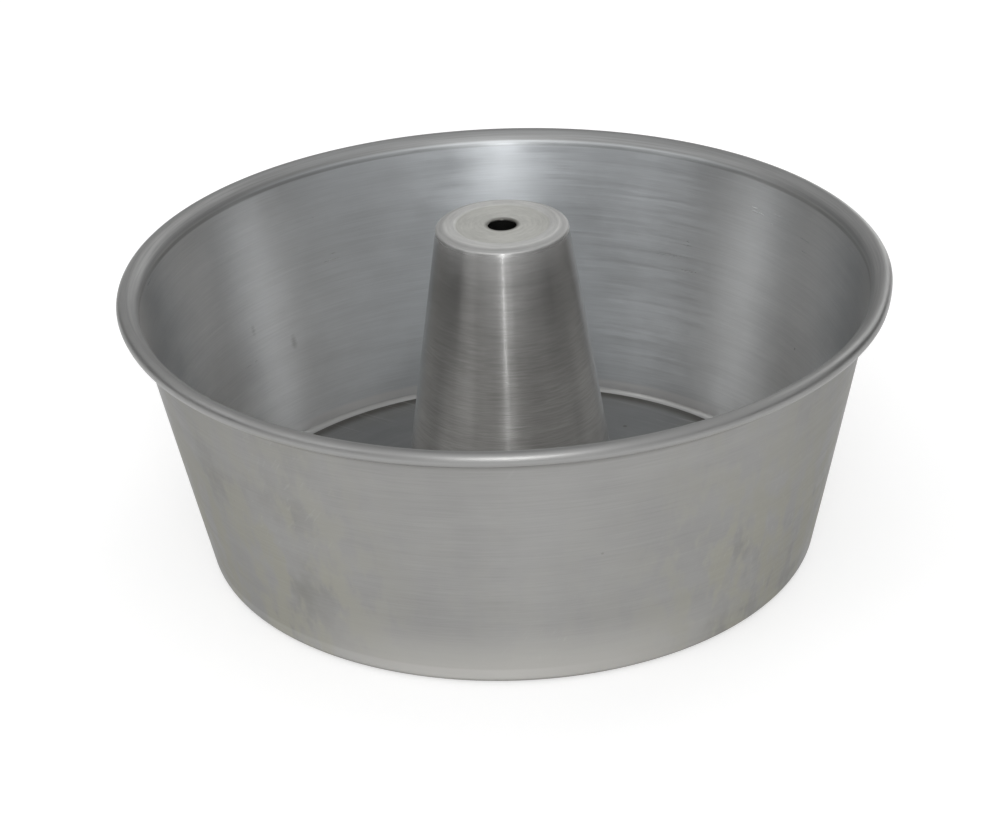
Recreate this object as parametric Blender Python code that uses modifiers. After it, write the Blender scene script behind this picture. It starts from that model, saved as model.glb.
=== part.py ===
"""Two-piece tube cake pan in spun aluminium, 254 mm over the rim.

The pan stands on the XY plane with its axis on +Z and the origin at the centre of its base.
Its pieces are the wall ring with a rolled rim and a hemmed inner ledge, the steel wire inside the
rim, and the lift-out insert: a floor plate locked to a tapered centre tube with a closed, vented top.
Every turned piece is a sheet-metal centre line, thickened into an outline and screwed round the axis.
"""
import math

import bpy
from mathutils import Vector

MM = 0.001

# Driving dimensions
RIM_RADIUS = 127.0 * MM          # over the rolled rim: a 10-inch pan
SHEET = 0.9 * MM                 # thickness of the spun sheet
GAP = 0.3 * MM                   # clearance between neighbouring pieces
ROUND_STEPS = 64                 # segments round the axis

# Rolled rim
BEAD_RADIUS = 2.5 * MM           # outer radius of the curl
BEAD_HEIGHT = 92.3 * MM          # centre of the curl above the base
CURL_END = math.radians(-150.0)  # where the sheet stops, just short of the wall
FLARE_RADIUS = 6.5 * MM          # wider bend of the inner face, between the wall and the curl
FLARE_END = math.radians(65.0)   # lean from the vertical where the flare passes into the curl
WIRE_RADIUS = BEAD_RADIUS - SHEET - GAP
WIRE_BUTT_GAP = 1.0 * MM         # where the two ends of the wire meet

# Wall and ledge
BASE_RADIUS = 101.3 * MM         # where the outer face of the wall would meet the base
CORNER_RADIUS = 3.8 * MM         # outer radius between the wall and the base
LEDGE_RADIUS = 88.0 * MM         # inner edge of the ledge that carries the plate
HEM_WIDTH = 7.0 * MM             # how far the folded edge runs back over the ledge
HEM_SLIT = 0.3 * MM              # air between the two layers of the fold

# Floor plate
PLATE_RADIUS = 96.4 * MM
PLATE_THICKNESS = 1.1 * MM
PLATE_EDGE_RADIUS = 0.4 * MM

# Centre tube
TUBE_TOP_HEIGHT = 112.3 * MM
TUBE_TOP_RADIUS = 21.5 * MM      # where the tube's side would meet the level of its flat top
TUBE_FOOT_RADIUS = 37.5 * MM     # outer radius where the tube leaves the plate
CROWN_RADIUS = 18.4 * MM         # edge of the flat part of the top
SHOULDER_DROP = 0.9 * MM         # fall of the sloping shoulder outside it
SHOULDER_RADIUS = 1.0 * MM       # bend between the shoulder and the side
CROWN_BEND = 2.5 * MM            # soft bend between the flat and the shoulder
TOP_STEP_RADIUS = 15.6 * MM      # edge of the shallow recess in the top
TOP_STEP_DEPTH = 0.4 * MM
VENT_RADIUS = 4.7 * MM
FLANGE_WIDTH = 5.5 * MM          # clamping flange under the plate
LOCK_BEAD_WIDTH = 1.3 * MM       # how far the locking bead stands over the plate
BEND_RADIUS = 0.75 * MM          # centre-line radius of the tight bends

# Heights that follow
PLATE_UNDERSIDE = 2.0 * SHEET + HEM_SLIT + GAP
PLATE_TOP = PLATE_UNDERSIDE + PLATE_THICKNESS
PLATE_HOLE_RADIUS = TUBE_FOOT_RADIUS + GAP

COLLECTION_NAME = "tube_cake_pan"


def clear_scene():
    """Remove whatever the scene holds, so that the model starts empty."""
    for obj in list(bpy.data.objects):
        bpy.data.objects.remove(obj, do_unlink=True)


def make_material(name, colour, roughness, metallic):
    """A plain principled material."""
    material = bpy.data.materials.new(name)
    material.use_nodes = True
    shader = material.node_tree.nodes["Principled BSDF"]
    shader.inputs["Base Color"].default_value = (*colour, 1.0)
    shader.inputs["Roughness"].default_value = roughness
    shader.inputs["Metallic"].default_value = metallic
    return material


def arc(centre, radius, start, end, steps):
    """Points of an arc in the radius-height plane, both ends included."""
    points = []
    for i in range(steps + 1):
        angle = start + (end - start) * i / steps
        points.append(centre + radius * Vector((math.cos(angle), math.sin(angle))))
    return points


def fillet(before, corner, after, radius, steps):
    """Points of the arc that rounds the corner of a centre line."""
    to_before = (before - corner).normalized()
    to_after = (after - corner).normalized()
    half_angle = to_before.angle(to_after) / 2.0
    reach = radius / math.tan(half_angle)
    centre = corner + (to_before + to_after).normalized() * radius / math.sin(half_angle)
    first = corner + to_before * reach - centre
    turn = first.angle_signed(corner + to_after * reach - centre)
    start = math.atan2(first.y, first.x)
    return arc(centre, radius, start, start - turn, steps)


def thicken(centre_line, thickness):
    """Closed outline of a sheet whose middle runs along the centre line."""
    left = []
    right = []
    for i, point in enumerate(centre_line):
        before = centre_line[max(i - 1, 0)]
        after = centre_line[min(i + 1, len(centre_line) - 1)]
        into = (point - before).normalized() if i > 0 else (after - point).normalized()
        out = (after - point).normalized() if after != point else into
        tangent = (into + out).normalized()
        normal = Vector((-tangent.y, tangent.x))
        offset = normal * (thickness / 2.0) / tangent.dot(into)
        left.append(point + offset)
        right.append(point - offset)
    return left + right[::-1]


def turned_piece(name, outline, material, collection):
    """Screw a closed outline round the Z axis into a ring-shaped solid."""
    doubled_area = 0.0
    for i, point in enumerate(outline):
        following = outline[(i + 1) % len(outline)]
        doubled_area += point.x * following.y - following.x * point.y
    if doubled_area > 0.0:
        outline = outline[::-1]

    mesh = bpy.data.meshes.new(name)
    edges = [(i, (i + 1) % len(outline)) for i in range(len(outline))]
    mesh.from_pydata([(point.x, 0.0, point.y) for point in outline], edges, [])
    obj = bpy.data.objects.new(name, mesh)
    collection.objects.link(obj)
    mesh.materials.append(material)

    screw = obj.modifiers.new("turned", "SCREW")
    screw.axis = "Z"
    screw.angle = math.tau
    screw.steps = ROUND_STEPS
    screw.render_steps = ROUND_STEPS
    screw.use_merge_vertices = True
    screw.merge_threshold = 0.00001
    screw.use_smooth_shade = True
    return obj


def wall_centre_line():
    """From the tip of the hem, out along the ledge, up the wall and round the curl."""
    half = SHEET / 2.0
    fold_radius = (SHEET + HEM_SLIT) / 2.0
    fold_centre = Vector((LEDGE_RADIUS + fold_radius + half, SHEET + HEM_SLIT / 2.0))
    hem_end = Vector((fold_centre.x + HEM_WIDTH, fold_centre.y + fold_radius))
    line = [hem_end]
    line += arc(fold_centre, fold_radius, math.pi / 2.0, 3.0 * math.pi / 2.0, 4)

    # The wall's outer face starts at the base radius and touches the hollow side of the flare.
    curl_centre = Vector((RIM_RADIUS - BEAD_RADIUS, BEAD_HEIGHT))
    inward = Vector((-math.cos(FLARE_END), math.sin(FLARE_END)))
    flare_centre = curl_centre - (FLARE_RADIUS - BEAD_RADIUS) * inward
    across = flare_centre - Vector((BASE_RADIUS, 0.0))
    lean = math.atan2(across.x, across.y) - math.asin((FLARE_RADIUS - SHEET) / across.length)

    corner = Vector((BASE_RADIUS - half / math.cos(lean) + half * math.tan(lean), half))
    flare = arc(flare_centre, FLARE_RADIUS - half, math.pi - lean, math.pi - FLARE_END, 4)
    curl = arc(curl_centre, BEAD_RADIUS - half, math.pi - FLARE_END, CURL_END, 10)
    line += fillet(line[-1], corner, flare[0], CORNER_RADIUS - half, 4)
    line += flare + curl[1:]
    return line


def tube_centre_line():
    """From the flange under the plate, up through the locking bead to the edge of the vent."""
    half = SHEET / 2.0
    flange_height = PLATE_UNDERSIDE - GAP - half
    neck_radius = TUBE_FOOT_RADIUS - half
    bead_low = PLATE_TOP + GAP + half
    bead_high = bead_low + 2.0 * BEND_RADIUS
    bead_tip = TUBE_FOOT_RADIUS + LOCK_BEAD_WIDTH

    flange_end = Vector((neck_radius + FLANGE_WIDTH, flange_height))
    foot = Vector((neck_radius, flange_height))
    neck = Vector((neck_radius, bead_low))
    tip = Vector((bead_tip, bead_low + BEND_RADIUS))
    line = [flange_end]
    line += fillet(flange_end, foot, neck, BEND_RADIUS, 2)
    line += fillet(foot, neck, Vector((tip.x, bead_low)), BEND_RADIUS, 2)
    line += arc(Vector((tip.x - BEND_RADIUS, tip.y)), BEND_RADIUS, -math.pi / 2.0, math.pi / 2.0, 4)

    lean = math.atan2(TUBE_FOOT_RADIUS - TUBE_TOP_RADIUS, TUBE_TOP_HEIGHT - PLATE_TOP)
    top = TUBE_TOP_HEIGHT - half
    side_radius = TUBE_TOP_RADIUS + half * math.tan(lean) - half / math.cos(lean)
    top_corner = Vector((side_radius + SHOULDER_DROP * math.tan(lean), top - SHOULDER_DROP))
    cone_foot = Vector((side_radius + (top - bead_high) * math.tan(lean), bead_high))
    line += fillet(line[-1], cone_foot, top_corner, BEND_RADIUS, 2)

    # A sloping shoulder leads to the flat top, which steps down once and ends at the vent.
    crown_edge = Vector((CROWN_RADIUS, top))
    recess = top - TOP_STEP_DEPTH
    step_outer = Vector((TOP_STEP_RADIUS + TOP_STEP_DEPTH, top))
    step_inner = Vector((TOP_STEP_RADIUS - TOP_STEP_DEPTH, recess))
    line += fillet(cone_foot, top_corner, crown_edge, SHOULDER_RADIUS - half, 3)
    line += fillet(top_corner, crown_edge, step_outer, CROWN_BEND, 1)
    line += [step_outer, step_inner, Vector((VENT_RADIUS, recess))]
    return line


def plate_outline():
    """Flat plate with a rounded outer edge and a plain hole for the tube."""
    inset = PLATE_EDGE_RADIUS
    rim = PLATE_RADIUS - inset
    top_arc = arc(Vector((rim, PLATE_TOP - inset)), inset, math.pi / 2.0, 0.0, 3)
    low_arc = arc(Vector((rim, PLATE_UNDERSIDE + inset)), inset, 0.0, -math.pi / 2.0, 3)
    hole = [Vector((PLATE_HOLE_RADIUS, PLATE_UNDERSIDE)), Vector((PLATE_HOLE_RADIUS, PLATE_TOP))]
    return top_arc + low_arc + hole


def rim_wire(material, collection):
    """Open ring of round wire inside the curl, its ends almost touching."""
    radius = RIM_RADIUS - BEAD_RADIUS
    end_angle = WIRE_BUTT_GAP / radius / 2.0
    angles = [math.tau * i / ROUND_STEPS for i in range(1, ROUND_STEPS)]
    angles = [end_angle] + angles + [math.tau - end_angle]

    curve = bpy.data.curves.new("rim_wire", "CURVE")
    curve.dimensions = "3D"
    curve.bevel_depth = WIRE_RADIUS
    curve.bevel_resolution = 2
    curve.use_fill_caps = True
    spline = curve.splines.new("POLY")
    spline.points.add(len(angles) - 1)
    for point, angle in zip(spline.points, angles):
        point.co = (radius * math.cos(angle), radius * math.sin(angle), BEAD_HEIGHT, 1.0)
    curve.materials.append(material)
    obj = bpy.data.objects.new("rim_wire", curve)
    collection.objects.link(obj)
    return obj


def main():
    clear_scene()
    collection = bpy.data.collections.new(COLLECTION_NAME)
    bpy.context.scene.collection.children.link(collection)

    wall_metal = make_material("spun_aluminium_wall", (0.58, 0.58, 0.57), 0.36, 1.0)
    plate_metal = make_material("rolled_aluminium_plate", (0.50, 0.50, 0.50), 0.42, 1.0)
    tube_metal = make_material("spun_aluminium_tube", (0.55, 0.55, 0.54), 0.34, 1.0)
    wire_metal = make_material("galvanised_steel_wire", (0.45, 0.46, 0.48), 0.50, 1.0)

    turned_piece("pan_wall", thicken(wall_centre_line(), SHEET), wall_metal, collection)
    rim_wire(wire_metal, collection)
    plate = turned_piece("base_plate", plate_outline(), plate_metal, collection)
    tube = turned_piece("centre_tube", thicken(tube_centre_line(), SHEET), tube_metal, collection)

    # The insert lifts straight out along the pan's axis.
    insert = bpy.data.objects.new("insert_axis", None)
    collection.objects.link(insert)
    plate.parent = insert
    tube.parent = insert


main()
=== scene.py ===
import math

import bmesh
import bpy
from mathutils import Matrix, Vector


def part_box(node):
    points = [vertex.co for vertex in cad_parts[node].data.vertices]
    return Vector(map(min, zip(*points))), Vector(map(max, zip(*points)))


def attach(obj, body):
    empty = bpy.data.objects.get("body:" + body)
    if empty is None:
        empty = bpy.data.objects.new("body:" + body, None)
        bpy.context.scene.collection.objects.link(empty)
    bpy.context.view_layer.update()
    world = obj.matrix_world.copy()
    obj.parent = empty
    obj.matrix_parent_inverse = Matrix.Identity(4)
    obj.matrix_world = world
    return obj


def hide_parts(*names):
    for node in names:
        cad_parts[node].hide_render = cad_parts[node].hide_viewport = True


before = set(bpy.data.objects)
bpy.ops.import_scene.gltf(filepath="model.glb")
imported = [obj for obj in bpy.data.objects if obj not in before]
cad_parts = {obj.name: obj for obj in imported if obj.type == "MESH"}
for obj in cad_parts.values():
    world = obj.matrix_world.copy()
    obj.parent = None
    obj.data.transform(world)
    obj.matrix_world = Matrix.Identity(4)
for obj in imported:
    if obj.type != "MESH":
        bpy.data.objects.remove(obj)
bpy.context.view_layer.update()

MM = 0.001

# The boxes of the CAD nodes give the heights.
WALL_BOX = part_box("pan_wall")
PLATE_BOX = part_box("base_plate")
TUBE_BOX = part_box("centre_tube")

# Sheet-metal dimensions, as the CAD has them
SHEET = 0.9 * MM
GAP = 0.3 * MM
RIM_RADIUS = 127.0 * MM
BEAD_RADIUS = 2.5 * MM
BEAD_HEIGHT = WALL_BOX[1][2] - BEAD_RADIUS
CURL_END = math.radians(-150.0)
FLARE_RADIUS = 6.5 * MM
FLARE_END = math.radians(65.0)
BASE_RADIUS = 101.3 * MM
CORNER_RADIUS = 3.8 * MM
LEDGE_RADIUS = 88.0 * MM
HEM_WIDTH = 7.0 * MM
HEM_SLIT = 0.3 * MM
PLATE_RADIUS = 96.4 * MM
PLATE_EDGE_RADIUS = 0.4 * MM
PLATE_UNDERSIDE = PLATE_BOX[0][2]
PLATE_TOP = PLATE_BOX[1][2]
TUBE_TOP_HEIGHT = TUBE_BOX[1][2]
TUBE_TOP_RADIUS = 21.5 * MM
TUBE_FOOT_RADIUS = 37.5 * MM
CROWN_RADIUS = 18.4 * MM
CROWN_BEND = 2.5 * MM
SHOULDER_DROP = 0.9 * MM
SHOULDER_RADIUS = 1.0 * MM
TOP_STEP_RADIUS = 15.6 * MM
TOP_STEP_DEPTH = 0.4 * MM
TOP_STEP_BEND = 1.0 * MM
VENT_RADIUS = 4.7 * MM
FLANGE_WIDTH = 5.5 * MM
LOCK_BEAD_WIDTH = 1.3 * MM
BEND_RADIUS = 0.75 * MM

# Segments round the axis and along each bend, and the longest stretch between two points
ROUND_STEPS = 288
CURL_STEPS = 32
FOLD_STEPS = 12
CORNER_STEPS = 10
SHOULDER_STEPS = 8
END_STEPS = 8
BEND_STEPS = 6
TOP_STEP_STEPS = 4
SHEET_STRETCH = 3.0 * MM
PLATE_STRETCH = 6.0 * MM
SHARP_ANGLE = math.radians(40.0)

# Where the rim's material and the material of the tube's top start
RIM_BEND_HEIGHT = 90.5 * MM
CROWN_SLOPE = math.cos(math.radians(62.0))

# Colours of the metals, of what has settled on them, and of painted shade and highlights
WALL_OUTSIDE = (0.308, 0.306, 0.300)
WALL_INSIDE = (0.595, 0.583, 0.567)
# Painted reflection tint on the back of the inner face
WALL_INSIDE_REFLECTION_TINT = (0.575, 0.600, 0.622)
# Painted highlight in the inner corner above the plate, and painted shade below it
WALL_CORNER_HIGHLIGHT = (0.67, 0.675, 0.68)
WALL_CORNER_SHADE = (0.37, 0.37, 0.365)
RIM_INNER = (0.315, 0.317, 0.315)
RIM_OUTER = (0.315, 0.315, 0.312)
# Painted shade line along the outer side of the curl
RIM_CREASE_SHADE = (0.20, 0.20, 0.195)
# Painted shade for the inside of the tube
TUBE_INSIDE_SHADE = (0.05, 0.05, 0.048)
PLATE = (0.228, 0.228, 0.224)
PLATE_WARM = (0.212, 0.208, 0.196)
# Painted sheen on the lower part of the tube
TUBE_FOOT_SHEEN = (0.595, 0.595, 0.588)
TUBE = (0.440, 0.440, 0.434)
TUBE_TOP = (0.58, 0.58, 0.552)
TUBE_RING = (0.62, 0.62, 0.608)
BRIGHT = (0.80, 0.80, 0.79)
STAIN_DARK = (0.238, 0.236, 0.202)
STAIN_PALE = (0.385, 0.378, 0.328)
# Painted reflection of the bright floor on the front foot
FLOOR_SHEEN = (0.450, 0.442, 0.420)
# Grime, also the colour of painted shade in gaps and under edges
GRIME_AND_SHADE = (0.10, 0.095, 0.085)
ZINC = (0.48, 0.49, 0.50)
ZINC_DARK = (0.36, 0.37, 0.38)
RUST = (0.22, 0.11, 0.06)

# Bands of height on the wall: lower edge, upper edge, softness
# Painted shade under the curl, and a painted dark line in the bend below the rim
CURL_SHADE = (0.0868, 0.0885, 0.0015)
BEND_SHADE = (0.0901, 0.0907, 0.0007)
# Band of the painted shade line along the curl
RIM_CREASE_BAND = (0.0925, 0.0932, 0.0006)
# Band of the painted highlight on the outer turn of the base
TURN_HIGHLIGHT_BAND = (0.0026, 0.0056, 0.0010)
# Band of the painted highlight in the inner corner
CORNER_HIGHLIGHT_BAND = (0.0036, 0.0052, 0.0014)

# Bands on the tube: the turning lines half-way up, and the paler edge of the shoulder
TUBE_LINES = (0.048, 0.072, 0.018)
SHOULDER_HEIGHTS = (0.1104, 0.1116, 0.0004)
SHOULDER_RADII = (0.0208, 0.0220, 0.0004)

# Fades on the wall: the heights or radii between which something changes
STAIN_FADE = (0.03, 0.085)
# Painted reflection of the floor on the front foot fades out between these heights
FLOOR_SHEEN_FADE = (0.004, 0.026)
# Painted contact shadow at the outer foot, and painted shade in the gap at the ledge
FOOT_SHADOW_FADE = (0.0010, 0.0021)
LEDGE_SHADE_FADE = (0.0012, 0.0020)
# Painted shade low in the inner corner
CORNER_SHADE_FADE = (0.0026, 0.0040)
RIM_FADE = (0.0905, 0.0920)
RIM_SIDE_RADII = (0.1235, 0.1255)
RIM_ROUGH_RADII = (0.1230, 0.1250)
# Radii of the painted shade line along the curl
RIM_CREASE_RADII = (0.1255, 0.1262)

# Fades on the plate and the tube
PLATE_EDGE_RADII = (0.0905, 0.0950)
PLATE_HUB_RADII = (0.0385, 0.0415)
# Painted sheen on the lower tube fades out between these heights
TUBE_SIDE_FADE = (0.030, 0.095)
# Painted shade at the tube's foot
TUBE_FOOT_SHADE_FADE = (0.0050, 0.0085)
TUBE_TOP_FADE = (0.1105, 0.1112)
SHOULDER_ROUGH_FADE = (0.1096, 0.1106)
CROWN_RADII = (0.0185, 0.0200)
RECESS_RADII = (0.0150, 0.0158)
VENT_GRIME_RADII = (0.0048, 0.0062)
VENT_GRIME_FADE = (0.109, 0.110)

# How the rim is out of true, in millimetres: order of each wave round it, cosine part, sine part
RIM_OUTWARD = ((0, -0.19, 0.0), (1, 0.07, 0.04), (2, -0.11, 0.08))
RIM_UPWARD = ((0, 0.06, 0.0), (1, 0.0, -0.11), (2, 0.34, -0.11))

# Shallow dents in the rim: direction, depth in millimetres, half-width
RIM_DENTS = (
    (math.radians(-11.0), 0.52, math.radians(9.0)),
    (math.radians(-160.0), 0.23, math.radians(10.0)),
)

# Small dark knocks inside the wall: place on the inner face and reach
KNOCKS = (
    ((-0.0895, 0.0655, 0.0450), 0.0016),
    ((-0.0761, 0.0772, 0.0344), 0.0019),
    ((-0.1011, 0.0515, 0.0561), 0.0012),
)

# The studio: the floor, and the camera at the photograph's angle, very slightly tilted
FLOOR_HALF_WIDTH = 10.0
FLOOR_DROP = 0.2 * MM
FLOOR_GREY = 0.60
FLOOR_GLOW = 0.53
LIGHT_AIM = Vector((0.0, 0.0, 0.05))
CAMERA_DISTANCE = 1.04063
CAMERA_ELEVATION = math.radians(27.29)
CAMERA_ROLL = math.radians(-2.18)
CAMERA_TARGET = Vector((-2.94 * MM, 0.0, 45.03 * MM))
CAMERA_LENS = 112.0
CAMERA_SENSOR = 36.0
CAMERA_REACH = 50.0

# Lights: name, azimuth and elevation in degrees, distance, width, height, radiance
LIGHTS = (
    ("key_front", -1.8, 30.0, 1.6, 0.03, 0.95, 22.6),
    ("soft_front", 1.0, 32.0, 1.6, 0.5, 0.6, 2.95),
    ("soft_left", -98.0, 35.0, 1.5, 0.8, 0.9, 1.03),
    ("soft_left_front", -60.0, 30.0, 1.5, 0.6, 0.7, 1.50),
    ("soft_left_back", -140.0, 35.0, 1.5, 0.8, 0.9, 0.56),
    ("soft_right", 88.0, 35.0, 1.5, 0.8, 0.9, 0.60),
    ("soft_right_front", 60.0, 30.0, 1.5, 0.6, 0.7, 0.38),
    ("soft_right_back", 140.0, 35.0, 1.5, 0.8, 0.9, 1.28),
    ("low_right_back", 155.0, 8.0, 1.5, 0.6, 0.4, 1.80),
    ("low_left_back", -155.0, 8.0, 1.5, 0.6, 0.4, 0.60),
    ("soft_back", 180.0, 25.0, 1.6, 1.2, 0.7, 0.60),
)

# Glow of the room: direction, focus, radiance
ROOM_GLOW = (
    ((0.0, -1.0, 0.4), 3.0, 1.22),
    ((0.0, 0.0, 1.0), 3.0, 0.88),
)


# ---------------------------------------------------------------- profiles

def arc(centre, radius, start, end, steps):
    """Points of an arc in the radius-height plane, both ends included."""
    points = []
    for i in range(steps + 1):
        angle = start + (end - start) * i / steps
        points.append(centre + radius * Vector((math.cos(angle), math.sin(angle))))
    return points


def fillet(before, corner, after, radius, steps):
    """Points of the arc that rounds the corner of a centre line."""
    to_before = (before - corner).normalized()
    to_after = (after - corner).normalized()
    half_angle = to_before.angle(to_after) / 2.0
    reach = radius / math.tan(half_angle)
    centre = corner + (to_before + to_after).normalized() * radius / math.sin(half_angle)
    first = corner + to_before * reach - centre
    turn = first.angle_signed(corner + to_after * reach - centre)
    start = math.atan2(first.y, first.x)
    return arc(centre, radius, start, start - turn, steps)


def subdivide(points, spacing):
    """The same line with no stretch longer than the spacing."""
    line = [points[0]]
    for point in points[1:]:
        stretch = point - line[-1]
        count = max(1, math.ceil(stretch.length / spacing))
        start = line[-1]
        line += [start + stretch * i / count for i in range(1, count + 1)]
    return line


def thicken(centre_line, thickness):
    """Closed outline of a sheet with rounded ends whose middle runs along the centre line."""
    left = []
    right = []
    last = len(centre_line) - 1
    for i, point in enumerate(centre_line):
        into = (point - centre_line[i - 1]).normalized() if i > 0 else None
        out = (centre_line[i + 1] - point).normalized() if i < last else into
        into = into or out
        tangent = (into + out).normalized()
        normal = Vector((-tangent.y, tangent.x))
        offset = normal * (thickness / 2.0) / tangent.dot(into)
        left.append(point + offset)
        right.append(point - offset)
    end = round_end(centre_line[-1], left[-1])
    start = round_end(centre_line[0], right[0])
    return left + end + right[::-1] + start


def round_end(middle, first):
    """Half circle from one face of the sheet, at first, round its end to the other face."""
    side = first - middle
    outward = Vector((side.y, -side.x))
    angles = [math.pi * i / END_STEPS for i in range(1, END_STEPS)]
    return [middle + side * math.cos(angle) + outward * math.sin(angle) for angle in angles]


def wall_centre_line():
    """From the tip of the hem, out along the ledge, up the wall and round the curl."""
    half = SHEET / 2.0
    fold_radius = (SHEET + HEM_SLIT) / 2.0
    fold_centre = Vector((LEDGE_RADIUS + fold_radius + half, SHEET + HEM_SLIT / 2.0))
    line = [Vector((fold_centre.x + HEM_WIDTH - half, fold_centre.y + fold_radius))]
    line += arc(fold_centre, fold_radius, math.pi / 2.0, 3.0 * math.pi / 2.0, FOLD_STEPS)
    curl_centre = Vector((RIM_RADIUS - BEAD_RADIUS, BEAD_HEIGHT))
    inward = Vector((-math.cos(FLARE_END), math.sin(FLARE_END)))
    flare_centre = curl_centre - (FLARE_RADIUS - BEAD_RADIUS) * inward
    across = flare_centre - Vector((BASE_RADIUS, 0.0))
    lean = math.atan2(across.x, across.y) - math.asin((FLARE_RADIUS - SHEET) / across.length)
    corner = Vector((BASE_RADIUS - half / math.cos(lean) + half * math.tan(lean), half))
    flare = arc(flare_centre, FLARE_RADIUS - half, math.pi - lean, math.pi - FLARE_END, FOLD_STEPS)
    curl = arc(curl_centre, BEAD_RADIUS - half, math.pi - FLARE_END, CURL_END, CURL_STEPS)
    line += fillet(line[-1], corner, flare[0], CORNER_RADIUS - half, CORNER_STEPS)
    line += flare + curl[1:]
    return subdivide(line, SHEET_STRETCH)


def tube_centre_line():
    """From the flange under the plate, up through the locking bead to the edge of the vent."""
    half = SHEET / 2.0
    flange_height = PLATE_UNDERSIDE - GAP - half
    neck_radius = TUBE_FOOT_RADIUS - half
    bead_low = PLATE_TOP + GAP + half
    bead_high = bead_low + 2.0 * BEND_RADIUS
    tip = Vector((TUBE_FOOT_RADIUS + LOCK_BEAD_WIDTH, bead_low + BEND_RADIUS))
    flange_end = Vector((neck_radius + FLANGE_WIDTH - half, flange_height))
    foot = Vector((neck_radius, flange_height))
    neck = Vector((neck_radius, bead_low))
    line = [flange_end]
    line += fillet(flange_end, foot, neck, BEND_RADIUS, BEND_STEPS)
    line += fillet(foot, neck, Vector((tip.x, bead_low)), BEND_RADIUS, BEND_STEPS)
    tip_centre = Vector((tip.x - BEND_RADIUS, tip.y))
    line += arc(tip_centre, BEND_RADIUS, -math.pi / 2.0, math.pi / 2.0, FOLD_STEPS)
    lean = math.atan2(TUBE_FOOT_RADIUS - TUBE_TOP_RADIUS, TUBE_TOP_HEIGHT - PLATE_TOP)
    top = TUBE_TOP_HEIGHT - half
    side_radius = TUBE_TOP_RADIUS + half * math.tan(lean) - half / math.cos(lean)
    top_corner = Vector((side_radius + SHOULDER_DROP * math.tan(lean), top - SHOULDER_DROP))
    cone_foot = Vector((side_radius + (top - bead_high) * math.tan(lean), bead_high))
    line += fillet(line[-1], cone_foot, top_corner, BEND_RADIUS, BEND_STEPS)
    recess = top - TOP_STEP_DEPTH
    step_outer = Vector((TOP_STEP_RADIUS + TOP_STEP_DEPTH, top))
    step_inner = Vector((TOP_STEP_RADIUS - TOP_STEP_DEPTH, recess))
    vent_edge = Vector((VENT_RADIUS + half, recess))
    crown_edge = Vector((CROWN_RADIUS, top))
    line += fillet(cone_foot, top_corner, crown_edge, SHOULDER_RADIUS - half, SHOULDER_STEPS)
    line += fillet(top_corner, crown_edge, step_outer, CROWN_BEND, BEND_STEPS)
    line += fillet(crown_edge, step_outer, step_inner, TOP_STEP_BEND, TOP_STEP_STEPS)
    line += fillet(step_outer, step_inner, vent_edge, TOP_STEP_BEND, TOP_STEP_STEPS)
    line.append(vent_edge)
    return subdivide(line, SHEET_STRETCH)


def plate_outline():
    """Flat plate with a rounded outer edge and a plain hole for the tube."""
    inset = PLATE_EDGE_RADIUS
    rim = PLATE_RADIUS - inset
    hole = TUBE_FOOT_RADIUS + GAP
    top_arc = arc(Vector((rim, PLATE_TOP - inset)), inset, math.pi / 2.0, 0.0, BEND_STEPS)
    low_arc = arc(Vector((rim, PLATE_UNDERSIDE + inset)), inset, 0.0, -math.pi / 2.0, BEND_STEPS)
    underside = subdivide([low_arc[-1], Vector((hole, PLATE_UNDERSIDE))], PLATE_STRETCH)
    top = subdivide([Vector((hole, PLATE_TOP)), top_arc[0]], PLATE_STRETCH)
    return top_arc + low_arc + underside[1:] + top[:-1]


# ---------------------------------------------------------------- meshes

def wave(parts, turn):
    """Sum of waves round the rim, at one direction."""
    total = 0.0
    for order, cosine, sine in parts:
        total += cosine * math.cos(order * turn) + sine * math.sin(order * turn)
    return total


def rim_warp(point):
    """The small ways in which a hand-spun, much used rim is out of true."""
    turn = math.atan2(point.y, point.x)
    share = min(1.0, max(0.0, point.z / BEAD_HEIGHT)) ** 2
    out = wave(RIM_OUTWARD, turn)
    for where, depth, width in RIM_DENTS:
        away = (turn - where + math.pi) % math.tau - math.pi
        out -= depth * math.exp(-(away / width) ** 2)
    up = wave(RIM_UPWARD, turn)
    outward = Vector((math.cos(turn), math.sin(turn), 0.0))
    return point + (outward * out + Vector((0.0, 0.0, up))) * share * MM


def wall_zone(face):
    """0 outside, 1 inside, 2 the rim from its bend upwards."""
    centre = face.calc_center_median()
    if centre.z > RIM_BEND_HEIGHT:
        return 2
    return 1 if face.normal.x * centre.x + face.normal.y * centre.y < 0.0 else 0


def tube_zone(face):
    """0 the side and what is hidden, 1 the top up to its shoulder."""
    near_top = face.calc_center_median().z > TUBE_TOP_HEIGHT - 1.5 * SHOULDER_DROP
    return 1 if near_top and face.normal.z > CROWN_SLOPE else 0


def turned_piece(name, outline, body, node, materials, zone=None, warp=None):
    """Spin a closed outline round the Z axis into a piece that stands for a CAD node."""
    mesh = bpy.data.meshes.new(name)
    bm = bmesh.new()
    verts = [bm.verts.new((point.x, 0.0, point.y)) for point in outline]
    edges = [bm.edges.new((verts[i - 1], verts[i])) for i in range(len(verts))]
    bmesh.ops.spin(bm, geom=verts + edges, cent=(0.0, 0.0, 0.0), axis=(0.0, 0.0, 1.0),
                   angle=math.tau, steps=ROUND_STEPS, use_merge=True)
    if warp:
        for vert in bm.verts:
            vert.co = warp(vert.co)
    bmesh.ops.recalc_face_normals(bm, faces=bm.faces)
    bm.normal_update()
    if zone:
        for face in bm.faces:
            face.material_index = zone(face)
    bm.to_mesh(mesh)
    bm.free()
    mesh.shade_smooth()
    mesh.set_sharp_from_angle(angle=SHARP_ANGLE)
    for material in materials:
        mesh.materials.append(material)
    obj = bpy.data.objects.new(name, mesh)
    bpy.context.scene.collection.objects.link(obj)
    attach(obj, body)
    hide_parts(node)


# ---------------------------------------------------------------- materials

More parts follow.
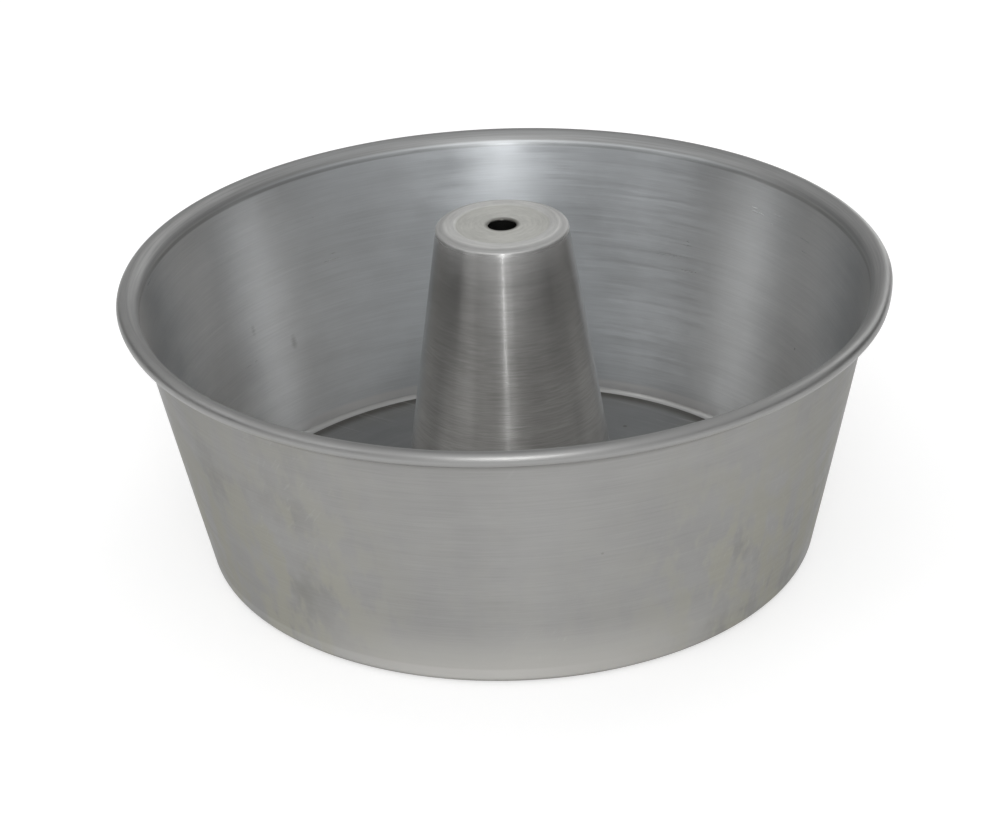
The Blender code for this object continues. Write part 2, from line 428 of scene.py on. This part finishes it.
class Tree:
    """Short calls that add the nodes of one metal and join them."""

    def __init__(self, name):
        self.material = bpy.data.materials.new(name)
        self.material.use_nodes = True
        self.nodes = self.material.node_tree.nodes
        self.links = self.material.node_tree.links
        self.shader = self.nodes["Principled BSDF"]
        self.place = self.nodes.new("ShaderNodeTexCoord").outputs["Object"]
        self.z = self.part(self.place, 2)
        flat = self.vector("MULTIPLY", self.place, (1.0, 1.0, 0.0))
        self.radius = self.length(flat)
        self.outward = self.vector("NORMALIZE", flat)
        self.sideways = self.part(self.outward, 0)
        self.backward = self.part(self.outward, 1)
        normal = self.nodes.new("ShaderNodeNewGeometry").outputs["True Normal"]
        self.facing_out = self.node("ShaderNodeVectorMath", {0: normal, 1: self.outward},
                                    operation="DOT_PRODUCT").outputs["Value"]
        self.facing_up = self.part(normal, 2)

    def node(self, kind, inputs, **settings):
        """A node with its settings; an input is another node's output or a constant."""
        made = self.nodes.new(kind)
        for key, value in settings.items():
            setattr(made, key, value)
        for key, value in inputs.items():
            if isinstance(value, bpy.types.NodeSocket):
                self.links.new(value, made.inputs[key])
            else:
                made.inputs[key].default_value = value
        return made

    def math(self, operation, first, *others):
        """One operation over two or more values, from left to right."""
        total = first
        for value in others or (0.0,):
            total = self.node("ShaderNodeMath", {0: total, 1: value}, operation=operation).outputs[0]
        return total

    def plus(self, *values):
        return self.math("ADD", *values)

    def times(self, *values):
        return self.math("MULTIPLY", *values)

    def most(self, *values):
        return self.math("MAXIMUM", *values)

    def rest_of(self, value):
        return self.math("SUBTRACT", 1.0, value)

    def vector(self, operation, a, b=(0.0, 0.0, 0.0)):
        return self.node("ShaderNodeVectorMath", {0: a, 1: b}, operation=operation).outputs["Vector"]

    def length(self, vector):
        return self.node("ShaderNodeVectorMath", {0: vector}, operation="LENGTH").outputs["Value"]

    def part(self, vector, axis):
        return self.node("ShaderNodeSeparateXYZ", {0: vector}).outputs[axis]

    def ramp(self, value, low, high, start=0.0, end=1.0):
        """Smooth change from start to end while the value goes from low to high."""
        inputs = {"Value": value, "From Min": low, "From Max": high, "To Min": start, "To Max": end}
        return self.node("ShaderNodeMapRange", inputs, interpolation_type="SMOOTHSTEP").outputs[0]

    def sway(self, value, amount, low=0.3, high=0.7):
        """Smooth change from minus the amount to the amount while a noise goes from low to high."""
        return self.ramp(value, low, high, -amount, amount)

    def band(self, value, low, high, soft):
        """1 between low and high, falling to 0 over a soft margin outside."""
        rise = self.ramp(value, low - soft, low)
        fall = self.ramp(value, high, high + soft, 1.0, 0.0)
        return self.times(rise, fall)

    def noise(self, vector, scale, detail=2.0, roughness=0.5):
        inputs = {"Vector": vector, "Scale": scale, "Detail": detail, "Roughness": roughness}
        return self.node("ShaderNodeTexNoise", inputs).outputs[0]

    def turning(self, run, across, along):
        """Coordinates that change fast along the profile and slowly round the axis."""
        ring_x = self.times(self.sideways, along)
        ring_y = self.times(self.backward, along)
        step = self.times(run, across)
        return self.node("ShaderNodeCombineXYZ", {0: ring_x, 1: ring_y, 2: step}).outputs[0]

    def specks(self, density, edge, share):
        """Round specks; edge gives how their rims fade, and share which cells have one."""
        cells = self.node("ShaderNodeTexVoronoi", {"Vector": self.place, "Scale": density})
        chosen = self.node("ShaderNodeSeparateColor", {0: cells.outputs["Color"]}).outputs[0]
        return self.times(self.ramp(cells.outputs["Distance"], *edge, 1.0, 0.0), self.ramp(chosen, *share))

    def stretched(self, angles, long_scale, fine_scale):
        """Coordinates drawn out along one slanted direction, for scratches."""
        turned = self.node("ShaderNodeMapping", {"Vector": self.place, "Rotation": angles}).outputs[0]
        return self.vector("MULTIPLY", turned, (long_scale, fine_scale, fine_scale))

    def mix(self, factor, a, b, blend="MIX"):
        mixer = self.node("ShaderNodeMix", {}, data_type="RGBA", blend_type=blend)
        for socket, value in ((mixer.inputs[0], factor), (mixer.inputs[6], a), (mixer.inputs[7], b)):
            if isinstance(value, bpy.types.NodeSocket):
                self.links.new(value, socket)
            elif socket.type == "RGBA":
                socket.default_value = (*value, 1.0)
            else:
                socket.default_value = value
        return mixer.outputs[2]

    def scale_colour(self, colour, factor):
        """The colour made lighter or darker by a factor that varies over the surface."""
        grey = self.node("ShaderNodeCombineColor", {0: factor, 1: factor, 2: factor}).outputs[0]
        return self.mix(1.0, colour, grey, "MULTIPLY")

    def finish(self, colour, roughness, anisotropy, heights):
        """Join colour, roughness and a stack of bumps to the shader; the grain runs round the axis."""
        self.links.new(colour, self.shader.inputs["Base Color"])
        self.links.new(roughness, self.shader.inputs["Roughness"])
        self.shader.inputs["Metallic"].default_value = 1.0
        self.shader.inputs["Anisotropic"].default_value = anisotropy
        self.shader.inputs["Anisotropic Rotation"].default_value = 0.25
        tangent = self.node("ShaderNodeTangent", {}, direction_type="RADIAL", axis="Z").outputs[0]
        self.links.new(tangent, self.shader.inputs["Tangent"])
        normal = None
        for height, distance in heights:
            bump = self.node("ShaderNodeBump", {"Height": height, "Distance": distance})
            if normal:
                self.links.new(normal, bump.inputs["Normal"])
            normal = bump.outputs[0]
        self.links.new(normal, self.shader.inputs["Normal"])
        return self.material


def oven_stains(tree, colour, outside):
    """Stains on the sides of the outer face: dull patches, and pale, drawn-out runs."""
    aside = tree.ramp(tree.math("ABSOLUTE", tree.sideways), 0.25, 0.62, 0.12, 1.0)
    aside = tree.times(aside, outside, tree.ramp(tree.z, *STAIN_FADE, 1.0, 0.35))
    patches = tree.noise(tree.vector("MULTIPLY", tree.place, (34.0, 34.0, 24.0)), 1.0, 4.0, 0.6)
    dull = tree.times(tree.ramp(patches, 0.46, 0.70), aside)
    colour = tree.mix(tree.times(dull, 0.36), colour, STAIN_DARK)
    runs = tree.noise(tree.vector("MULTIPLY", tree.place, (110.0, 110.0, 48.0)), 1.0, 3.0, 0.6)
    pale = tree.times(tree.ramp(runs, 0.42, 0.60), aside)
    colour = tree.mix(tree.times(pale, 0.75), colour, STAIN_PALE)
    return colour, tree.most(dull, pale)


def painted_foot_light(tree, colour, outside):
    """A painted reflection of the bright floor, paler along the foot of the front, and a painted highlight on
    the turn of the base, stronger on the left.
    """
    front = tree.ramp(tree.backward, -0.98, -0.70, 1.0, 0.0)
    floor_sheen = tree.times(tree.ramp(tree.z, *FLOOR_SHEEN_FADE, 1.0, 0.0), front, outside)
    colour = tree.mix(tree.times(floor_sheen, 0.8), colour, FLOOR_SHEEN)
    leftward = tree.ramp(tree.sideways, -0.05, 0.30, 1.0, 0.15)
    turn_highlight = tree.times(tree.band(tree.z, *TURN_HIGHLIGHT_BAND), outside, leftward)
    return tree.mix(tree.times(turn_highlight, 0.11), colour, BRIGHT)


def small_marks(tree, colour, lines):
    """A few small dark specks of burnt fat all over, and the knocks on the inner face."""
    speck = tree.specks(150.0, (0.03, 0.10), (0.95, 0.97))
    colour = tree.mix(tree.times(speck, 0.5), colour, GRIME_AND_SHADE)
    for place, reach in KNOCKS:
        away = tree.vector("MULTIPLY", tree.vector("SUBTRACT", tree.place, place), (1.0, 1.0, 0.45))
        away = tree.plus(tree.length(away), tree.sway(lines, 0.0002))
        colour = tree.mix(tree.ramp(away, 0.0, reach, 0.4, 0.0), colour, GRIME_AND_SHADE)
    return colour


def slanted_scratches(tree):
    """Where the wall is scratched, in patches, from stacking and scouring."""
    rub = tree.noise(tree.stretched((0.0, 1.05, 0.35), 3.0, 900.0), 1.0, 2.0, 0.5)
    patches = tree.ramp(tree.noise(tree.place, 16.0, 2.0), 0.52, 0.66)
    return tree.times(tree.ramp(rub, 0.58, 0.74), patches)


def wall_grime_and_shade(tree, cloud, inside, outside):
    """Grime with painted shade: painted shade under the curl, a painted contact shadow at the very foot, a
    painted dark line in the bend below the rim, and painted shade in the gap at the ledge.
    """
    under = tree.times(tree.band(tree.z, *CURL_SHADE), outside, 0.4)
    foot = tree.times(tree.ramp(tree.z, *FOOT_SHADOW_FADE, 0.6, 0.0), outside)
    bend = tree.times(tree.band(tree.z, *BEND_SHADE), inside, 0.6)
    ledge = tree.times(tree.ramp(tree.z, *LEDGE_SHADE_FADE, 1.0, 0.0), inside)
    return tree.times(tree.most(under, foot, bend, ledge), tree.ramp(cloud, 0.2, 0.6, 0.35, 0.8))


def rim_colour(tree):
    """Greys of the rim's two sides, with a line of painted shade along the outer one, for the dark dip
    between its two highlights.
    """
    crease_shade = tree.times(tree.band(tree.z, *RIM_CREASE_BAND), tree.ramp(tree.radius, *RIM_CREASE_RADII))
    colour = tree.mix(tree.ramp(tree.radius, *RIM_SIDE_RADII), RIM_INNER, RIM_OUTER)
    return tree.mix(tree.times(crease_shade, 0.25), colour, RIM_CREASE_SHADE)


def inner_corner_light(tree, colour, inside):
    """Painted shade low on the inner face where it turns in to the ledge, and a painted highlight on the band
    just above it, where the rounded corner catches light from above.
    """
    turn = tree.times(tree.ramp(tree.z, *CORNER_SHADE_FADE, 1.0, 0.0), inside)
    colour = tree.mix(turn, colour, WALL_CORNER_SHADE)
    return tree.mix(tree.times(tree.band(tree.z, *CORNER_HIGHLIGHT_BAND), inside), colour, WALL_CORNER_HIGHLIGHT)


def wall_material(name, edge_tint, anisotropy, extra_roughness):
    """Satin spun aluminium, clean inside, with stains and handling marks outside and a worn rim."""
    tree = Tree(name)
    tree.shader.inputs["Specular Tint"].default_value = (edge_tint, edge_tint, edge_tint, 1.0)
    run = tree.plus(tree.z, tree.radius)
    broad = tree.noise(tree.turning(run, 150.0, 1.2), 1.0, 3.0, 0.6)
    lines = tree.noise(tree.turning(run, 900.0, 3.0), 1.0, 3.0, 0.65)
    fine = tree.noise(tree.turning(run, 2600.0, 8.0), 1.0, 2.0, 0.6)
    cloud = tree.noise(tree.place, 22.0, 4.0, 0.55)
    inside = tree.ramp(tree.facing_out, -0.3, 0.3, 1.0, 0.0)
    outside = tree.rest_of(inside)

    # The outside is darker and duller, and the inside turns cooler towards the back, a painted tint of the
    # reflection there.
    inner = tree.mix(tree.ramp(tree.backward, 0.4, 0.9), WALL_INSIDE, WALL_INSIDE_REFLECTION_TINT)
    shade = tree.plus(1.0, tree.sway(lines, 0.035, 0.25, 0.75), tree.sway(broad, 0.02))
    shade = tree.plus(shade, tree.sway(fine, 0.03), tree.sway(cloud, 0.065))
    colour = tree.scale_colour(tree.mix(inside, WALL_OUTSIDE, inner), shade)

    colour, stain = oven_stains(tree, colour, outside)
    colour = painted_foot_light(tree, colour, outside)
    colour = small_marks(tree, colour, lines)
    scratch = slanted_scratches(tree)
    colour = tree.mix(tree.times(scratch, 0.05), colour, BRIGHT)
    # Grime, and painted shade in the creases and at the foot
    grime_and_shade = wall_grime_and_shade(tree, cloud, inside, outside)
    colour = tree.mix(grime_and_shade, colour, GRIME_AND_SHADE)
    rim = tree.times(tree.ramp(tree.z, *RIM_FADE), tree.ramp(lines, 0.3, 0.7, 0.85, 1.0))
    colour = tree.mix(rim, colour, rim_colour(tree))
    colour = inner_corner_light(tree, colour, inside)

    # The inner side of the rim is rougher than the rest of it.
    rough = tree.plus(tree.ramp(lines, 0.3, 0.7, 0.30, 0.38), tree.ramp(cloud, 0.3, 0.7, -0.03, 0.04))
    rough = tree.plus(rough, tree.times(tree.most(stain, grime_and_shade), 0.14), extra_roughness)
    rough = tree.plus(rough, tree.times(rim, tree.ramp(tree.radius, *RIM_ROUGH_RADII, 0.14, 0.0)))
    heights = ((broad, 0.00003), (lines, 0.000008), (fine, 0.000003), (cloud, 0.00004), (scratch, 0.0000008))
    return tree.finish(colour, rough, anisotropy, heights)


def plate_material():
    """Turned face of the floor plate: rings round the axis, dull from baking, darker at its edge and round
    the tube with grime and painted shade.
    """
    tree = Tree("spun_plate")
    broad = tree.noise(tree.turning(tree.radius, 160.0, 1.0), 1.0, 3.0, 0.6)
    lines = tree.noise(tree.turning(tree.radius, 1000.0, 3.0), 1.0, 3.0, 0.65)
    fine = tree.noise(tree.turning(tree.radius, 2800.0, 8.0), 1.0, 2.0, 0.6)
    cloud = tree.noise(tree.place, 26.0, 4.0, 0.6)
    shade = tree.plus(1.0, tree.sway(lines, 0.06, 0.25, 0.75), tree.sway(broad, 0.04), tree.sway(cloud, 0.08))
    colour = tree.scale_colour(tree.mix(tree.ramp(cloud, 0.45, 0.65), PLATE, PLATE_WARM), shade)

    # Grime and painted shade in the gap at the plate's edge and round the tube's foot
    edge = tree.ramp(tree.radius, *PLATE_EDGE_RADII)
    hub = tree.ramp(tree.radius, *PLATE_HUB_RADII, 1.0, 0.0)
    grime_and_shade = tree.times(tree.most(edge, hub), tree.ramp(cloud, 0.25, 0.6, 0.55, 0.95))
    colour = tree.mix(grime_and_shade, colour, GRIME_AND_SHADE)
    speck = tree.specks(120.0, (0.06, 0.13), (0.88, 0.92))
    colour = tree.mix(tree.times(speck, 0.6), colour, GRIME_AND_SHADE)
    rub = tree.noise(tree.stretched((0.0, 0.0, 0.6), 12.0, 1300.0), 1.0, 2.0, 0.5)
    scratch = tree.times(tree.ramp(rub, 0.60, 0.70), tree.ramp(cloud, 0.4, 0.6))
    colour = tree.mix(tree.times(scratch, 0.12), colour, BRIGHT)

    rough = tree.plus(tree.ramp(lines, 0.3, 0.7, 0.34, 0.42), tree.ramp(cloud, 0.3, 0.7, -0.03, 0.05))
    rough = tree.plus(rough, tree.times(grime_and_shade, 0.15))
    heights = ((broad, 0.00008), (lines, 0.000012), (fine, 0.000004), (cloud, 0.00006), (scratch, 0.000002))
    return tree.finish(colour, rough, 0.7, heights)


def tube_material(name, anisotropy, extra_roughness):
    """The tube's side has clear turning lines and a sharp grain; its top is paler and matt."""
    tree = Tree(name)
    run = tree.math("SUBTRACT", tree.z, tree.radius)
    broad = tree.noise(tree.turning(run, 170.0, 0.8), 1.0, 3.0, 0.6)
    lines = tree.noise(tree.turning(run, 950.0, 1.6), 1.0, 4.0, 0.7)
    fine = tree.noise(tree.turning(run, 2400.0, 4.0), 1.0, 2.0, 0.6)
    cloud = tree.noise(tree.place, 40.0, 4.0, 0.55)
    marked = tree.times(tree.band(tree.z, *TUBE_LINES), tree.sway(fine, 0.045, 0.35, 0.65))
    shade = tree.plus(1.0, tree.sway(lines, 0.07, 0.25, 0.75), tree.sway(broad, 0.04))
    shade = tree.plus(shade, tree.sway(fine, 0.04), tree.sway(cloud, 0.04), marked)

    # The side is painted paler towards its foot, a painted sheen for reflections that the front of the pan
    # hides from it; the top has a ring and a recess, and what is hidden inside is painted near black as
    # shade.
    high = tree.ramp(tree.z, *TUBE_TOP_FADE)
    crown = tree.times(tree.ramp(tree.radius, *CROWN_RADII, 1.0, 0.0), high)
    recess = tree.times(tree.ramp(tree.radius, *RECESS_RADII, 1.0, 0.0), high)
    base = tree.mix(tree.ramp(tree.z, *TUBE_SIDE_FADE), TUBE_FOOT_SHEEN, TUBE)
    base = tree.mix(crown, base, TUBE_RING)
    base = tree.mix(recess, base, TUBE_TOP)
    hidden = tree.times(tree.ramp(tree.facing_out, -0.2, 0.0, 1.0, 0.0), tree.rest_of(high))
    underside = tree.times(tree.ramp(tree.facing_up, -0.3, -0.1, 1.0, 0.0), high)
    colour = tree.scale_colour(tree.mix(tree.most(hidden, underside), base, TUBE_INSIDE_SHADE), shade)

    # Grime round the vent, and painted shade at the tube's foot where it meets the plate
    foot = tree.ramp(tree.z, *TUBE_FOOT_SHADE_FADE, 1.0, 0.0)
    vent = tree.ramp(tree.radius, *VENT_GRIME_RADII, 1.0, 0.0)
    vent = tree.times(vent, tree.ramp(tree.z, *VENT_GRIME_FADE))
    grime_and_shade = tree.times(tree.most(foot, vent), tree.ramp(cloud, 0.3, 0.6, 0.4, 0.8))
    colour = tree.mix(grime_and_shade, colour, GRIME_AND_SHADE)
    # The edge of the shoulder made a little paler
    shoulder_paler = tree.times(tree.band(tree.z, *SHOULDER_HEIGHTS), tree.band(tree.radius, *SHOULDER_RADII))
    colour = tree.mix(tree.times(shoulder_paler, 0.08), colour, BRIGHT)

    rough = tree.plus(tree.ramp(lines, 0.3, 0.7, 0.195, 0.225), tree.ramp(cloud, 0.3, 0.7, -0.01, 0.02))
    rough = tree.plus(rough, tree.ramp(tree.z, *SHOULDER_ROUGH_FADE, 0.0, 0.15), tree.times(grime_and_shade, 0.12))
    rough = tree.plus(rough, tree.times(recess, 0.06), extra_roughness)
    heights = ((broad, 0.000010), (lines, 0.0000022), (fine, 0.0000007), (cloud, 0.000012))
    return tree.finish(colour, rough, anisotropy, heights)


def finish_wire():
    """Dull galvanised steel for the wire inside the rim."""
    tree = Tree("rim_wire_zinc")
    spangle = tree.node("ShaderNodeTexVoronoi", {"Vector": tree.place, "Scale": 700.0}).outputs["Distance"]
    cloud = tree.noise(tree.place, 60.0, 3.0)
    shade = tree.plus(tree.ramp(spangle, 0.0, 0.7, 0.92, 1.06), tree.sway(cloud, 0.08))
    colour = tree.scale_colour(tree.mix(cloud, ZINC, ZINC_DARK), shade)
    rust = tree.ramp(tree.noise(tree.place, 90.0, 4.0, 0.6), 0.60, 0.70)
    colour = tree.mix(tree.times(rust, 0.6), colour, RUST)
    rough = tree.plus(tree.ramp(cloud, 0.3, 0.7, 0.38, 0.50), tree.times(rust, 0.25))
    material = tree.finish(colour, rough, 0.0, ((spangle, 0.00001), (cloud, 0.00003)))
    wire = bpy.data.objects["rim_wire"]
    for slot in wire.material_slots:
        slot.material = material


# ---------------------------------------------------------------- studio

def area_light(name, azimuth, elevation, distance, width, height, radiance):
    """A soft rectangular light that faces the pan; azimuth 0 is the camera's side, 90 is +X."""
    a = math.radians(azimuth)
    e = math.radians(elevation)
    direction = Vector((math.sin(a) * math.cos(e), -math.cos(a) * math.cos(e), math.sin(e)))
    light = bpy.data.lights.new(name, "AREA")
    light.shape = "RECTANGLE"
    light.size = width
    light.size_y = height
    light.energy = radiance * math.pi * width * height
    obj = bpy.data.objects.new(name, light)
    bpy.context.scene.collection.objects.link(obj)
    obj.location = LIGHT_AIM + direction * distance
    obj.rotation_euler = direction.to_track_quat("Z", "Y").to_euler()
    obj.visible_camera = False


def make_floor():
    """A plain pale floor that glows a little, so that it stays near white."""
    mesh = bpy.data.meshes.new("studio_floor")
    bm = bmesh.new()
    bmesh.ops.create_grid(bm, x_segments=1, y_segments=1, size=FLOOR_HALF_WIDTH)
    bm.to_mesh(mesh)
    bm.free()
    material = bpy.data.materials.new("studio_floor")
    material.use_nodes = True
    shader = material.node_tree.nodes["Principled BSDF"]
    shader.inputs["Base Color"].default_value = (FLOOR_GREY, FLOOR_GREY, FLOOR_GREY, 1.0)
    shader.inputs["Roughness"].default_value = 0.9
    shader.inputs["Emission Color"].default_value = (1.0, 1.0, 1.0, 1.0)
    shader.inputs["Emission Strength"].default_value = FLOOR_GLOW
    mesh.materials.append(material)
    floor = bpy.data.objects.new("studio_floor", mesh)
    floor.location.z = -FLOOR_DROP
    bpy.context.scene.collection.objects.link(floor)


def make_world():
    """A bright room in front of the pan and overhead, falling off to the sides and behind."""
    world = bpy.data.worlds.new("studio")
    bpy.context.scene.world = world
    world.use_nodes = True
    nodes = world.node_tree.nodes
    links = world.node_tree.links
    place = nodes.new("ShaderNodeTexCoord")
    total = None
    for toward, focus, strength in ROOM_GLOW:
        aim = nodes.new("ShaderNodeVectorMath")
        aim.operation = "DOT_PRODUCT"
        aim.inputs[1].default_value = Vector(toward).normalized()
        links.new(place.outputs["Generated"], aim.inputs[0])
        ahead = nodes.new("ShaderNodeMath")
        ahead.operation = "MAXIMUM"
        ahead.inputs[1].default_value = 0.0
        links.new(aim.outputs["Value"], ahead.inputs[0])
        lobe = nodes.new("ShaderNodeMath")
        lobe.operation = "POWER"
        lobe.inputs[1].default_value = focus
        links.new(ahead.outputs[0], lobe.inputs[0])
        summed = nodes.new("ShaderNodeMath")
        summed.operation = "MULTIPLY_ADD"
        summed.inputs[1].default_value = strength
        summed.inputs[2].default_value = 0.0
        links.new(lobe.outputs[0], summed.inputs[0])
        if total:
            links.new(total, summed.inputs[2])
        total = summed.outputs[0]
    links.new(total, nodes["Background"].inputs["Color"])


def make_camera():
    """A long lens, looking down at the pan."""
    back = Vector((0.0, -math.cos(CAMERA_ELEVATION), math.sin(CAMERA_ELEVATION)))
    data = bpy.data.cameras.new("camera")
    data.sensor_width = CAMERA_SENSOR
    data.lens = CAMERA_LENS
    data.clip_end = CAMERA_REACH
    camera = bpy.data.objects.new("camera", data)
    bpy.context.scene.collection.objects.link(camera)
    roll = Matrix.Rotation(CAMERA_ROLL, 4, "Z")
    turn = back.to_track_quat("Z", "Y").to_matrix().to_4x4() @ roll
    camera.matrix_world = Matrix.Translation(CAMERA_TARGET + back * CAMERA_DISTANCE) @ turn
    bpy.context.scene.camera = camera


make_camera()
make_world()
make_floor()
for light in LIGHTS:
    area_light(*light)

bpy.context.scene.view_settings.view_transform = "Standard"

wall_metals = (
    wall_material("spun_wall_outside", 0.62, 0.75, 0.0),
    wall_material("spun_wall_inside", 0.95, 0.75, 0.0),
    wall_material("spun_wall_rim", 0.95, 0.30, 0.06),
)
tube_metals = (
    tube_material("spun_tube_side", 1.0, 0.0),
    tube_material("spun_tube_top", 0.2, 0.22),
)

turned_piece("wall_shell", thicken(wall_centre_line(), SHEET), "pan", "pan_wall",
             wall_metals, wall_zone, rim_warp)
turned_piece("floor_disc", plate_outline(), "insert", "base_plate",
             (plate_material(),))
turned_piece("tube_shell", thicken(tube_centre_line(), SHEET), "insert", "centre_tube",
             tube_metals, tube_zone)
finish_wire()
